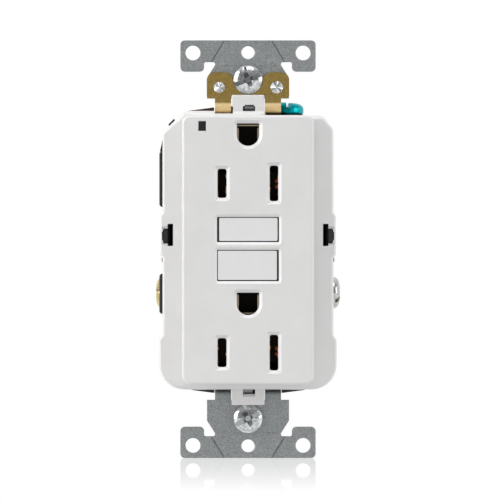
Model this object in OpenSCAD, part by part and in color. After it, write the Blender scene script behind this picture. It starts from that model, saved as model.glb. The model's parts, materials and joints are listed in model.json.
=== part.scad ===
// GFCI outlet, 15 A duplex, for a wall box. Millimetres.
// X is to the right, Z is up, and the face looks towards -Y.
// The origin is midway between the two box screws, on the rear face of the mounting strap.

/* [Strap] */
// Overall height of the mounting strap
strap_h = 102.8; // [102:0.2:104]
// Width across the ears
strap_w = 33.3; // [32.5:0.1:34]
// Thickness of the galvanized sheet
strap_t = 1.2; // [1:0.05:1.3]
// Distance between the two box screws
box_pitch = 83.34; // [83:0.02:83.8]
// Distance between the two wall-plate screw holes
plate_pitch = 96.84; // [96.4:0.02:97]

/* [Cover] */
// Width of the cover flange
cover_w = 42; // [41.6:0.1:42.2]
// Width of the raised face
face_w = 32.32; // [32:0.05:33]
// Height of the raised face
face_h = 66; // [65.6:0.1:66.4]
// How far the raised face stands in front of the flange
face_rise = 4.2; // [3.5:0.1:4.6]
// How far the flange stands in front of the strap's rear face
flange_front = 4.4; // [4.2:0.1:4.8]
// Wall thickness of the cover
cover_t = 1.6; // [1.3:0.1:1.7]

/* [Rear housing] */
// Distance from the strap's rear face to the back of the housing
body_depth = 27; // [26.6:0.2:30]
// Width of the rear housing
body_w = 42.8; // [42.6:0.1:43]
// Wall thickness of the rear housing
body_t = 1.6; // [1.4:0.1:1.7]

/* [Outlets] */
// Distance from the centre line to a blade slot
slot_x = 6.35; // [6.3:0.05:6.4]
// Width of a blade slot
slot_w = 2.1; // [2:0.05:2.2]
// Height of the hot slot
hot_h = 7.1; // [6.9:0.1:7.3]
// Height of the neutral slot
neutral_h = 8.7; // [8.5:0.1:8.8]
// Width of the ground hole
ground_w = 5.35; // [5.3:0.05:5.5]
// Height of the upper outlet's blade slots above the centre
upper_z = 16.1; // [16:0.1:16.3]
// Height of the lower outlet's blade slots
lower_z = -25.3; // [-25.4:0.1:-25.2]
// Height of a ground hole above its blade slots
ground_rise = 11.92; // [11.9:0.01:12]

/* [Terminals] */
// Height of the line terminals, on the lower half
line_z = -10.8; // [-11:0.1:-10.6]
// Height of the load terminals, on the upper half
load_z = 17.5; // [17.4:0.1:17.6]
// Diameter of a terminal screw head
head_d = 7.4; // [7:0.1:7.6]
// How far a terminal screw moves from tight to backed out
screw_travel = 2.4; // [2:0.1:2.4]

/* [Hidden] */
$fn = 48;
gap = 0.05;                       // play between parts that meet
far = 80;                         // longer than any part, for cutting
wall_y = -flange_front;           // front of the flange
face_y = wall_y - face_rise;      // front of the raised face
skirt_y = 2;                      // rear edge of the cover
face_mid = -0.2;                  // height of the face's centre
rim_y = skirt_y + gap;            // front edge of the rear housing
brass_t = 0.8;
ear_z = strap_h / 2;
box_z = box_pitch / 2;
leg_in = 4.15;                    // inner edge of a strap leg
leg_out = 8.15;                   // outer edge of a strap leg
neck_z = 37.1;                    // where the strap narrows to its legs
bend_z = 36;                      // height of the first bend's centre
bend_r = 1;                       // inside radius of both bends
frame_y = 2.6;                    // front face of the strap's inner frame
room_y = frame_y + strap_t + 0.4; // rear of the room left for that frame
rivet_x = 7.05;
rivet_z = 39.8;
rivet_hole = 0.85;
low_rivet_x = 3.4;                // rivets of the lower ground contact
low_rivet_z = -18.7;
low_rivet_hole = 0.65;
slit = 0.3;                       // play round a strap leg
slit_z0 = 31;
slit_z1 = 36;
plate_foot_z = 31.1;              // lower edge of the brass plate's legs
test_z = 4.8;
reset_z = -4;
led_x = -11.2;
led_z = 30.1;
bay_h = 9.8;                      // height of a terminal bay
bay_x = 15.2;                     // floor of a terminal bay
bay_y0 = 5.1;
bay_y1 = 20.5;
screw_y = 10.5;                   // axis of the terminal screws
plate_x = bay_x + gap;            // rear face of a terminal plate
plate_t = 1;
plate_h = 7.8;
line_foot_y = 16.6;               // rear face of a line terminal's foot
tight_x = 16.5;                   // rear face of a tight clamp
wire_r = 1.7;                     // radius of a wire hole
wire_dz = 2.5;                    // half the spacing of a pair of wire holes
wire_x = 17.4;
leaf_t = 0.5;
strip_y = 7;                      // front of the contact strips
tray_y = 9.2;                     // front of the middle housing's plate
board_y = 11.4;
board_t = 1.4;
inner_w = 12.2;                   // half width of what lies between the bays
arm_x = 10.3;                     // centre line of a moving contact arm
arm_y = 15.3;
arm_pivot_z = -13.5;
contact_z = 2;
contact_r = 1.4;
latch_y = 17.5;
latch_t = 0.8;
latch_shift = 1.8;                // stroke of the plunger and latch
plunger_y = 17.9;
plunger_r = 1.67;
coil_z0 = -27;
coil_z1 = -14;
core_z = 19;                      // centre of the sensing coils
case_y = 13;                      // front of the sensing coils' case
bar_x = 1.6;                      // conductors through the sensing coils
bar_y = 22.8;
bar_t = 0.8;
bar_w = 1.8;
arm_gap_x = 8.6;                  // opening for the moving contact arms
arm_gap_z = [-2.4, 6.4];
ground_screw_x = 9.5;
ground_screw_y = 8;
ground_tab_z = 31.6;              // lower face of the ground screw's tab
ground_tab_w = 4.6;

// ---- helpers ----

// Extrudes an outline drawn in X and Z from y0 back to y1
module slab(y0, y1) translate([0, y1, 0]) rotate([90, 0, 0]) linear_extrude(y1 - y0) children();

// Extrudes an outline drawn in Y and Z from x0 to x1
module slice(x0, x1) translate([x0, 0, 0]) rotate([90, 0, 90]) linear_extrude(x1 - x0) children();

module block(x0, x1, y0, y1, z0, z1) translate([x0, y0, z0]) cube([x1 - x0, y1 - y0, z1 - z0]);

module rod_x(r, x0, x1) translate([x0, 0, 0]) rotate([0, 90, 0]) cylinder(r = r, h = x1 - x0);

module rod_y(r, y0, y1) translate([0, y1, 0]) rotate([90, 0, 0]) cylinder(r = r, h = y1 - y0);

module round_rect(w, h, r) {
    square([w - 2 * r, h], center = true);
    square([w, h - 2 * r], center = true);
    for (x = [-1, 1], z = [-1, 1]) translate([x * (w / 2 - r), z * (h / 2 - r)]) circle(r);
}

// The same thing at both ends of the strap
module both_ends() {
    children();
    mirror([0, 0, 1]) children();
}

module both_sides() {
    children();
    mirror([1, 0, 0]) children();
}

// A round wire wound into a coil around Z
module coil(r, wire, length, turns) {
    steps = 14;
    sides = 6;
    count = steps * turns;
    function ring(i) = let (a = 360 * i / steps, z = wire + (length - 2 * wire) * i / count)
        [for (s = [0:sides - 1]) let (b = 360 * s / sides, d = r + wire * cos(b))
            [d * cos(a), d * sin(a), z + wire * sin(b)]];
    points = [for (i = [0:count]) each ring(i)];
    walls = [for (i = [0:count - 1], s = [0:sides - 1]) let (a = i * sides, n = (s + 1) % sides)
        [a + s, a + n, a + sides + n, a + sides + s]];
    first = [for (s = [sides - 1:-1:0]) s];
    last = [for (s = [0:sides - 1]) count * sides + s];
    polyhedron(points = points, faces = concat(walls, [first], [last]), convexity = 10);
}

// Side profile of a bent leg, d0 to d1 behind the strap's front face, ending at height z_end
function leg_side(d, z_end) = let (r1 = bend_r + strap_t - d, r2 = bend_r + d, y2 = frame_y - bend_r,
    z2 = bend_z - 2 * bend_r - strap_t)
    concat([[-strap_t + d, neck_z + 0.2]],
           [for (a = [0:10:90]) [bend_r - r1 * cos(a), bend_z - r1 * sin(a)]],
           [for (a = [0:15:90]) [y2 + r2 * sin(a), z2 + r2 * cos(a)]],
           [[frame_y + d, z_end]]);

function reversed(list) = [for (i = [len(list) - 1:-1:0]) list[i]];

module bent_leg(d0, d1, z_end) both_sides() slice(leg_in, leg_out)
    polygon(concat(leg_side(d0, z_end), reversed(leg_side(d1, z_end))));

module slot_outline(h) square([slot_w, h], center = true);

module ground_outline() {
    translate([-ground_w / 2, 0]) square([ground_w, ground_w / 2]);
    circle(ground_w / 2);
}

// Opening for the strap legs, from the leg edge at x to the right-hand leg's outer edge
module leg_slit(x, y0, y1) block(x - slit, leg_out + slit, y0, y1, slit_z0, slit_z1);

// ---- casing ----

// Outline of the flange; the right-hand top edge is lower to clear the ground screw
module flange_outline() {
    w = cover_w / 2;
    foot_w = w + 0.8;
    foot_rx = 6;
    foot_rz = 7;
    polygon(concat(
        [[-16.2, 33.85], [4, 33.85], [4, 32.75], [18.4, 32.75], [20.6, 30.2], [w, 27.8],
         [w, 8.7], [w + 0.6, 8.1], [w + 0.6, -1.3], [w, -1.9], [w, -21], [foot_w, -22.4]],
        [for (a = [0:-10:-90]) [foot_w - foot_rx * (1 - cos(a)), -27.5 + foot_rz * sin(a)]],
        [for (a = [-90:-10:-180]) [-foot_w + foot_rx * (1 + cos(a)), -27.5 + foot_rz * sin(a)]],
        [[-foot_w, -22.4], [-w, -21], [-w, -1.9], [-w - 0.6, -1.3], [-w - 0.6, 8.1], [-w, 8.7],
         [-w, 27.8], [-19.7, 30.3]]));
}

// Outline of the space inside the flange
module flange_inside() {
    w = cover_w / 2 - cover_t;
    polygon([[-15.6, 31.3], [16.4, 31.3], [w, 27], [w, -28], [15, -32.7], [-15, -32.7], [-w, -28], [-w, 27]]);
}

// Everything that is open through the front of the face
module face_openings() {
    for (z = [upper_z, lower_z]) {
        translate([-slot_x, z]) slot_outline(hot_h);
        translate([slot_x, z]) slot_outline(neutral_h);
        translate([0, z + ground_rise]) ground_outline();
    }
    translate([0, test_z]) round_rect(15.1, 6.1, 0.4);
    translate([0, reset_z]) round_rect(15.1, 7.6, 0.4);
    translate([led_x, led_z]) square([1.87, 2.4], center = true);
}

// Snap tab between the strap legs, with its window
module end_tab(tip, sill) slab(-3.4, -strap_t - 0.3) difference() {
    translate([-4.05, 32]) square([8.1, tip - 32]);
    translate([-1.2, sill]) square([2.4, 1.6]);
}

module front_cover() color("white") difference() {
    union() {
        slab(wall_y, skirt_y) flange_outline();
        slab(face_y, wall_y) translate([0, face_mid]) round_rect(face_w, face_h, 2.1);
        end_tab(37.9, 33.85);
        mirror([0, 0, 1]) end_tab(38.3, 34.5);
    }
    slab(wall_y + cover_t, far) flange_inside();
    slab(face_y + cover_t, far) translate([0, face_mid])
        square([face_w - 2 * cover_t, face_h - 2 * cover_t - 1.6], center = true);
    slab(-far, far) face_openings();
    both_sides() block(18.5, 21.1, -far, far, 0.6, 6.2);
    both_ends() both_sides() leg_slit(leg_in, -2.3, far);
    both_ends() leg_slit(-leg_out, 1.6, far);
}

module housing_outline(w) polygon([[-16.4, 34.2], [16.4, 34.2], [w, 27.6], [w, -27.8], [15.6, -34.3],
    [-15.6, -34.3], [-w, -27.8], [-w, 27.6]]);

// A terminal bay: the block it is cut from, and the space itself
module bay_block(z) block(bay_x - 1.4, body_w / 2 - 0.2, bay_y0 - 1, body_depth - 0.2,
    z - bay_h / 2 - 1.2, z + bay_h / 2 + 1.2);

module bay_space(z) {
    block(bay_x, far, bay_y0, bay_y1, z - bay_h / 2, z + bay_h / 2);
    translate([0, screw_y, z]) rod_x(2.4, 10, bay_x + 1);
    for (dz = [-wire_dz, wire_dz]) translate([wire_x, 0, z + dz]) rod_y(wire_r, bay_y1 - 1, far);
}

module rear_housing() color("dimgray") difference() {
    union() {
        difference() {
            slab(rim_y, body_depth) housing_outline(body_w / 2);
            slab(-far, body_depth - body_t) housing_inside();
        }
        for (z = [line_z, load_z]) both_sides() bay_block(z);
        ground_screw_shroud();
        both_sides() block(18.9, 20.9, -3.4, 6, 1.4, 4.8);
        block(-14.8, -8.2, rim_y, 9, 34, 35);
        both_sides() block(8.4, 14, rim_y, 9, -35.1, -34.1);
    }
    for (z = [line_z, load_z]) both_sides() bay_space(z);
    both_sides() block(bay_x - 2, plate_x + 1, strip_y - 0.2, strip_y + 1, load_z - 2.2, load_z + 2.2);
    both_sides() block(bay_x - 2, plate_x + 1, 15.7, 16.8, line_z - 4.1, line_z - 1.4);
    both_ends() both_sides() leg_slit(leg_in, -far, room_y);
    both_ends() block(-16.2, 16.2, -far, room_y, 31.2, 33.2);
    block(ground_screw_x - 4.8, ground_screw_x + 4.8, -far, 13, ground_tab_z - 0.2, far);
    block(ground_screw_x - 2.3, ground_screw_x + 2.3, 0, 10.6, 25.4, far);
}

// Walls that part the ground screw from the inside
module ground_screw_shroud() {
    block(ground_screw_x - 3.3, ground_screw_x + 3.3, room_y, 11.2, 24.3, ground_tab_z);
    block(ground_screw_x - 5.6, ground_screw_x + 5.6, room_y, 13.8, 30.3,
        ground_tab_z + 1.8);
}

module housing_inside() polygon([[-15.6, 32.6], [15.6, 32.6], [19.8, 26.8], [19.8, -27], [14.8, -32.7],
    [-14.8, -32.7], [-19.8, -27], [-19.8, 26.8]]);

// Insulating tray behind the contacts, with a pocket round each blade contact
module middle_housing() color("#3a3a3c") difference() {
    union() {
        block(-inner_w, inner_w, tray_y, tray_y + 1.2, -31.6, 31.6);
        for (z = [[-31.6, -17], [-4.6, 11.2], [24, 31.6]])
            block(-15, 15, tray_y, tray_y + 1.2, z[0], z[1]);
        for (x = [-slot_x, slot_x], z = [upper_z, lower_z]) block(x - 3.4, x + 3.4, 5.5, tray_y, z - 5, z + 5);
        translate([0, 0, reset_z]) rod_y(2.6, 5, tray_y + 0.6);
        block(2.8, 4.8, 4.8, tray_y, 12.8, 14);
    }
    for (x = [-slot_x, slot_x], z = [upper_z, lower_z]) block(x - 2, x + 2, 0, tray_y, z - 4, z + 4);
    both_sides() block(slot_x - 1.6, slot_x + 1.6, 0, tray_y, -31, 21.2);
    both_sides() block(slot_x, 16, 0, tray_y, load_z - 2.2, load_z + 2.2);
    both_sides() block(arm_gap_x, 12.1, 0, far, arm_gap_z[0], arm_gap_z[1]);
    translate([0, 0, reset_z]) rod_y(1.1, 0, far);
    translate([led_x, 0, led_z]) block(-1.2, 1.2, 0, far, -1.4, 1.4);
    block(3.4, 16, 0, far, 23.4, 33);
    both_sides() translate([bar_x, 0, core_z]) rod_y(1.2, tray_y - 1, far);
}

// ---- strap and grounding ----

module strap_end() {
    difference() {
        slab(-strap_t, 0) translate([0, (ear_z + 43.7) / 2]) round_rect(strap_w, ear_z - 43.7, 1.1);
        both_sides() block(8, 10.8, -far, far, 40, 46.05);
    }
    slab(-strap_t, 0) polygon([[-8, 46.5], [8, 46.5], [8, 45.2], [10.1, 42.2], [10.1, neck_z],
        [-10.1, neck_z], [-10.1, 42.2], [-8, 45.2]]);
    bent_leg(0, strap_t, 31.6);
    block(-1, 1, -strap_t, 0, 34.65, neck_z + 0.5);
    block(-1, 1, -2.6, -0.5, 34.65, 35.3);
}

module strap_holes() {
    translate([0, 0, plate_pitch / 2]) rod_y(1.6, -far, far);
    both_sides() translate([13.55, 0, 48.3]) rod_y(1.825, -far, far);
    slab(-far, far) translate([0, box_z]) {
        square([1.8, 3.9], center = true);
        for (x = [-0.9, 0.9]) translate([x, 0]) circle(1.95);
    }
}

module mounting_strap() color("silver") difference() {
    union() {
        both_ends() strap_end();
        slab(frame_y, frame_y + strap_t) {
            for (z = [32.3, -32.3]) translate([0, z]) square([32, 1.4], center = true);
            translate([0, low_rivet_z]) square([32, 2.4], center = true);
            for (x = [-14.5, 14.5]) translate([x, 0]) square([3, 64], center = true);
        }
        block(ground_screw_x - ground_tab_w / 2, ground_screw_x + ground_tab_w / 2, frame_y, 11,
            ground_tab_z, ground_tab_z + strap_t);
    }
    both_ends() strap_holes();
    both_sides() translate([rivet_x, 0, rivet_z]) rod_y(rivet_hole, -far, far);
    both_sides() translate([low_rivet_x, 0, low_rivet_z]) rod_y(low_rivet_hole, -far, far);
    translate([ground_screw_x, ground_screw_y, 30]) cylinder(r = 1.95, h = 3.5);
}

// Ground contact: a channel whose web is above the pin, sprung leaves on both sides
module ground_leaves() {
    both_sides() block(2.35, 2.95, -5.6, 7.6, -2.4, 2.3);
    both_sides() block(2.35, 2.95, -1, 7.6, 2.2, 3.2);
    block(-2.95, 2.95, -1, 7.6, 2.6, 3.2);
}

module ground_plate() color("darkgoldenrod") {
    difference() {
        slab(-strap_t - brass_t, -strap_t) union() {
            translate([0, 40.4]) round_rect(20.3, 6.2, 1.6);
            translate([0, 38.4]) square([19.4, 2.7], center = true);
        }
        slab(-far, far) {
            translate([0, box_z]) circle(3.9);
            polygon([[-3.9, box_z], [3.9, box_z], [5.1, 44], [-5.1, 44]]);
            translate([0, neck_z]) square([8.3, 1.6], center = true);
        }
        both_sides() translate([rivet_x, 0, rivet_z]) rod_y(rivet_hole, -far, far);
    }
    bent_leg(-brass_t, 0, plate_foot_z);
    block(-leg_out, leg_out, frame_y - brass_t, frame_y, plate_foot_z, plate_foot_z + 1.5);
    translate([0, 0, upper_z + ground_rise]) ground_leaves();
}

module lower_ground_contact() color("darkgoldenrod") {
    translate([0, 0, lower_z + ground_rise]) mirror([0, 0, 1]) ground_leaves();
    difference() {
        block(-4.4, 4.4, frame_y - brass_t, frame_y, -19.8, -16);
        both_sides() translate([low_rivet_x, 0, low_rivet_z]) rod_y(low_rivet_hole, -far, far);
    }
}

module rivet(r, head_r, y0, y1) {
    rod_y(r, y0 - 0.3, y1 + 0.3);
    rod_y(head_r, y0 - 0.8, y0);
    rod_y(head_r, y1, y1 + 0.5);
}

module strap_rivets() color("lightgray") {
    both_sides() translate([rivet_x, 0, rivet_z]) rivet(0.8, 1.45, -strap_t - brass_t, 0);
    both_sides() translate([low_rivet_x, 0, low_rivet_z]) rivet(0.6, 0.95, frame_y - brass_t, frame_y + strap_t);
}

// Box screw: shank, dished head and its slot
module box_screw() difference() {
    union() {
        rod_y(1.5, -strap_t - 1, 1.2);
        rod_y(1.7, 1.1, 24);
        translate([0, -strap_t - gap, 0]) rotate([90, 0, 0]) cylinder(r1 = 3.5, r2 = 3.1, h = 1.2);
        translate([0, -strap_t - gap - 1.2, 0]) rotate([90, 0, 0]) cylinder(r1 = 3.1, r2 = 2.1, h = 0.7);
    }
    rotate([0, -23, 0]) block(-far, far, -far, -strap_t - 1.1, -0.45, 0.45);
    rotate([0, 67, 0]) block(-1.9, 1.9, -far, -strap_t - 0.9, -0.45, 0.45);
}

module box_screw_top() color("lightgray") translate([0, 0, box_z]) box_screw();

module box_screw_bottom() color("lightgray") translate([0, 0, -box_z]) box_screw();

module screw_retainers() color("tan") both_ends() difference() {
    slab(0.1, 0.8) translate([0, box_z]) square([9, 7], center = true);
    translate([0, 0, box_z]) rod_y(1.6, -far, far);
}

module ground_screw() color("darkcyan") translate([ground_screw_x, ground_screw_y, 0]) difference() {
    union() {
        translate([0, 0, 26.4]) cylinder(r = 1.9, h = 7.6);
        translate([0, 0, 33.6]) cylinder(r = 4.2, h = 1.5);
        translate([0, 0, 35.1]) cylinder(r1 = 4.2, r2 = 3.3, h = 0.9);
    }
    block(-far, far, -0.6, 0.6, 34.7, far);
    block(-0.6, 0.6, -2.2, 2.2, 34.5, far);
}

// ---- buttons and light ----

module button(w, h) {
    slab(face_y - 0.5, -4.2) round_rect(w, h, 0.35);
    slab(face_y + cover_t + 0.3, -5) square([16.6, h + 1.2], center = true);
}

module test_button() color("white") translate([0, 0, test_z]) {
    button(14.3, 5.7);
    translate([3.8, 0, 0]) rod_y(0.8, -4.4, 4.1);
}

module test_contact_spring() color("peru") {
    block(2.9, 4.7, 4.4, 4.7, 2.2, 13.8);
    translate([0, 4.55, 13.2]) rod_x(0.2, 2.9, 4.7);
    translate([3.8, 0, 3]) rod_y(0.7, 4.6, 5);
}

module reset_button() color("white") translate([0, 0, reset_z]) button(14.5, 7.2);

module reset_pin() color("lightgray") translate([0, 0, reset_z]) {
    rod_y(1, -4.2, 15.2);
    rod_y(0.7, 15, 19.7);
    rod_y(1, 19.5, 21);
}

module reset_spring() color("lightgray") translate([0, 4.95, reset_z]) rotate([90, 0, 0])
    coil(1.75, 0.25, 9, 7);

module light_pipe() color("honeydew") translate([led_x, 0, led_z]) {
    block(-0.85, 0.85, face_y + 0.15, 10.4, -1.1, 1.1);
    block(-1.6, 1.6, wall_y + cover_t + gap, wall_y + cover_t + 1, -1.1, 1.1);
}

module status_led() color("palegreen") translate([led_x, 0, led_z]) block(-0.8, 0.8, 10.5, board_y, -1.3, -0.1);

// ---- current path ----

// Two sprung leaves that grip a blade
module blade_grip(z, h) translate([slot_x, 0, 0]) both_sides()
    block(0.82, 0.82 + leaf_t, -5.6, strip_y + 0.4, z - h / 2, z + h / 2);

// One side's contact strip: grips for both outlets, the load terminal plate and the fixed contact's foot
module contact_strip() {
    for (z = [upper_z, lower_z]) blade_grip(z, 6);
    block(slot_x - 1.32, slot_x + 1.32, strip_y, strip_y + 0.8, lower_z - 3, upper_z + 3);
    block(slot_x, plate_x + 0.2, strip_y, strip_y + 0.8, load_z - 2, load_z + 2);
    terminal_plate(load_z);
    block(slot_x, 11.9, strip_y, strip_y + 0.8, 0.2, 3.8);
    block(11.1, 11.9, strip_y, 13.8, 0.2, 3.8);
    block(8.9, 11.9, 13, 13.8, 0.2, 3.8);
}

module terminal_plate(z) difference() {
    block(plate_x, plate_x + plate_t, 5.3, 17.5, z - plate_h / 2, z + plate_h / 2);
    translate([0, screw_y, z]) rod_x(2, 0, far);
}

module hot_contact_strip() color("goldenrod") mirror([1, 0, 0]) contact_strip();

module neutral_contact_strip() color("goldenrod") contact_strip();

module fixed_contacts() color("silver") both_sides() translate([arm_x, 0, contact_z]) rod_y(contact_r, 13.8, 14.55);

module line_terminal() {
    terminal_plate(line_z);
    block(arm_x - 1.2, plate_x + 0.2, 15.95, line_foot_y, line_z - plate_h / 2, line_z - 2.1);
}

module line_hot_terminal() color("goldenrod") mirror([1, 0, 0]) line_terminal();

module line_neutral_terminal() color("goldenrod") line_terminal();

// Pressure plate under a terminal screw's head
module clamp(x, z) difference() {
    block(x, x + 1, 5.6, 16.8, z - 3.7, z + 3.7);
    translate([0, screw_y, z]) rod_x(2.1, 0, far);
}

module line_hot_clamp() color("darkgoldenrod") mirror([1, 0, 0]) clamp(tight_x + screw_travel, line_z);

module line_neutral_clamp() color("silver") clamp(tight_x + screw_travel, line_z);

module load_hot_clamp() color("darkgoldenrod") mirror([1, 0, 0]) clamp(tight_x, load_z);

module load_neutral_clamp() color("silver") clamp(tight_x, load_z);

// Terminal screw whose head bears on a clamp's outer face at x
module terminal_screw(x, z) translate([0, screw_y, z]) difference() {
    union() {
        rod_x(1.95, x - 5, x + 0.4);
        rod_x(head_d / 2, x + gap, x + 1.7);
        translate([x + 1.7, 0, 0]) rotate([0, 90, 0]) cylinder(r1 = head_d / 2, r2 = head_d / 2 - 0.9, h = 0.9);
    }
    block(x + 1.5, far, -0.6, 0.6, -far, far);
    block(x + 1.3, far, -2.2, 2.2, -0.5, 0.5);
}

module line_hot_screw() color("goldenrod") mirror([1, 0, 0]) terminal_screw(tight_x + screw_travel + 1, line_z);

module line_neutral_screw() color("silver") terminal_screw(tight_x + screw_travel + 1, line_z);

module load_hot_screw() color("goldenrod") mirror([1, 0, 0]) terminal_screw(tight_x + 1, load_z);

module load_neutral_screw() color("silver") terminal_screw(tight_x + 1, load_z);

// ---- trip mechanism ----

// Sprung arm with a rolled root
module contact_arm() {
    block(arm_x - 1.1, arm_x + 1.1, arm_y, arm_y + leaf_t, arm_pivot_z - 1, contact_z + 1.6);
    translate([0, arm_y + leaf_t / 2, arm_pivot_z]) rod_x(0.3, arm_x - 1.1, arm_x + 1.1);
}

module hot_contact_arm() color("peru") mirror([1, 0, 0]) contact_arm();

module neutral_contact_arm() color("peru") contact_arm();

module moving_contact() translate([arm_x, 0, contact_z]) rod_y(contact_r, 14.6, arm_y);

module hot_moving_contact() color("silver") mirror([1, 0, 0]) moving_contact();

module neutral_moving_contact() color("silver") moving_contact();

module contact_carrier() color("whitesmoke") difference() {
    union() {
        block(-4.2, 4.2, 16.2, 19.6, reset_z - 4, reset_z + 4);
        block(-arm_x - 1.1, arm_x + 1.1, 16, 17.1, reset_z - 1, reset_z + 1);
    }
    translate([0, 0, reset_z]) rod_y(1.4, 0, far);
    block(-2.6, 2.6, latch_y - 0.1, latch_y + latch_t + 0.1, -far, far);
}

// Keyhole plate: the narrow end is round the pin at rest
module latch_plate() color("lightgray") slab(latch_y, latch_y + latch_t) difference() {
    translate([-2.4, -11.5]) square([4.8, 12]);
    translate([0, reset_z]) circle(0.9);
    translate([0, reset_z - latch_shift]) circle(1.3);
    translate([-0.9, reset_z - latch_shift]) square([1.8, latch_shift]);
}

module circuit_board() color("darkgreen") difference() {
    block(-inner_w, inner_w, board_y, board_y + board_t, -31, 30.1);
    both_sides() block(arm_gap_x, far, 0, far, arm_gap_z[0], arm_gap_z[1]);
    translate([0, 0, reset_z]) rod_y(1.5, 0, far);
    both_sides() translate([bar_x, 0, core_z]) rod_y(0.95, 0, far);
}

// Bars from the line terminals through the sensing coils
module line_conductors() color("goldenrod") both_sides() {
    back = bar_y + bar_t;
    top = core_z + bar_w / 2;
    foot = line_z - plate_h / 2;
    translate([bar_x, 0, core_z]) rod_y(0.9, 10.8, back - 0.2);
    block(bar_x - 0.4, 11.5, bar_y, back, top - bar_w, top);
    block(10.3, 11.5, bar_y, back, foot, top);
    block(10.3, 11.5, line_foot_y, back, foot, foot + 1);
}

module coil_case() color("#2b2b2e") translate([0, case_y, core_z]) rotate([-90, 0, 0]) difference() {
    cylinder(r = 7.4, h = 9);
    translate([0, 0, -1]) cylinder(r = 2.9, h = 12);
    translate([0, 0, 0.9]) rotate_extrude() translate([3.7, 0]) square([2.9, 7.2]);
}

module sensing_coils() color("sienna") translate([0, case_y, core_z]) rotate([-90, 0, 0])
    for (y = [1.1, 4.7]) translate([0, 0, y]) rotate_extrude() translate([4, 0]) square([2.3, 3.2]);

module solenoid_bobbin() color("ivory") translate([0, plunger_y, 0]) difference() {
    union() {
        translate([0, 0, coil_z0]) cylinder(r = 2.35, h = coil_z1 - coil_z0);
        for (z = [coil_z0, coil_z1 - 0.9]) translate([0, 0, z]) cylinder(r = 4.9, h = 0.9);
    }
    translate([0, 0, coil_z0 - 1]) cylinder(r = plunger_r + 0.08, h = 20);
}

module solenoid_winding() color("#7a3b1c") translate([0, plunger_y, 0]) difference() {
    translate([0, 0, coil_z0 + 0.95]) cylinder(r = 4.5, h = coil_z1 - coil_z0 - 1.9);
    translate([0, 0, coil_z0]) cylinder(r = 2.4, h = 20);
}

module solenoid_frame() color("silver") difference() {
    union() {
        block(-5.2, 5.2, 13.1, 24.2, coil_z0 - 1.1, coil_z0 - 0.1);
        block(-5.2, 5.2, 13.1, 24.2, coil_z1 + 0.1, coil_z1 + 1.1);
        block(-5.2, 5.2, 23.2, 24.2, coil_z0 - 1.1, coil_z1 + 1.1);
    }
    translate([0, plunger_y, coil_z1 - 1]) cylinder(r = plunger_r + 0.08, h = 4);
}

module solenoid_plunger() color("lightgray") translate([0, plunger_y, 0]) {
    translate([0, 0, -24]) cylinder(r = plunger_r, h = 11.4);
    translate([0, 0, -12.8]) cylinder(r = 1, h = 1.1);
}

module plunger_spring() color("lightgray") translate([0, plunger_y, coil_z0]) coil(1.2, 0.2, 2.9, 5);

// ---- electronics ----

module controller_chip() color("#202022") block(7.7, 11.9, board_y + board_t, 14.4, 25.4, 29.4);

module filter_capacitor() color("navy") translate([5, 0, 7.4]) rod_y(3, board_y + board_t, 20);

module surge_varistor() color("steelblue") translate([-4.2, 16.8, 7.5]) cylinder(r = 3.6, h = 2.6);

module resistors() color("burlywood") for (x = [7.6, 10.6], z = [-20, -27.5])
    translate([x, board_y + board_t + 1.2, z]) cylinder(r = 1.1, h = 5.4);

module rectifier_diodes() color("#202022") for (x = [-7.4, -10.2])
    translate([x, board_y + board_t + 1.1, -21]) cylinder(r = 1, h = 4.4);

module thyristor() color("#202022") translate([-9, 0, -26.5]) difference() {
    rod_y(2.4, board_y + board_t, 17.4);
    block(-3, 3, 0, far, 1.2, 3);
}

front_cover();
rear_housing();
middle_housing();
mounting_strap();
ground_plate();
lower_ground_contact();
strap_rivets();
box_screw_top();
box_screw_bottom();
screw_retainers();
ground_screw();
test_button();
test_contact_spring();
reset_button();
reset_pin();
reset_spring();
light_pipe();
status_led();
hot_contact_strip();
neutral_contact_strip();
fixed_contacts();
line_hot_terminal();
line_neutral_terminal();
line_hot_clamp();
line_neutral_clamp();
load_hot_clamp();
load_neutral_clamp();
line_hot_screw();
line_neutral_screw();
load_hot_screw();
load_neutral_screw();
hot_contact_arm();
neutral_contact_arm();
hot_moving_contact();
neutral_moving_contact();
contact_carrier();
latch_plate();
circuit_board();
line_conductors();
coil_case();
sensing_coils();
solenoid_bobbin();
solenoid_winding();
solenoid_frame();
solenoid_plunger();
plunger_spring();
controller_chip();
filter_capacitor();
surge_varistor();
resistors();
rectifier_diodes();
thyristor();
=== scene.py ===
import json
import math

import bmesh
import bpy
from mathutils import Matrix, Vector

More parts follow.
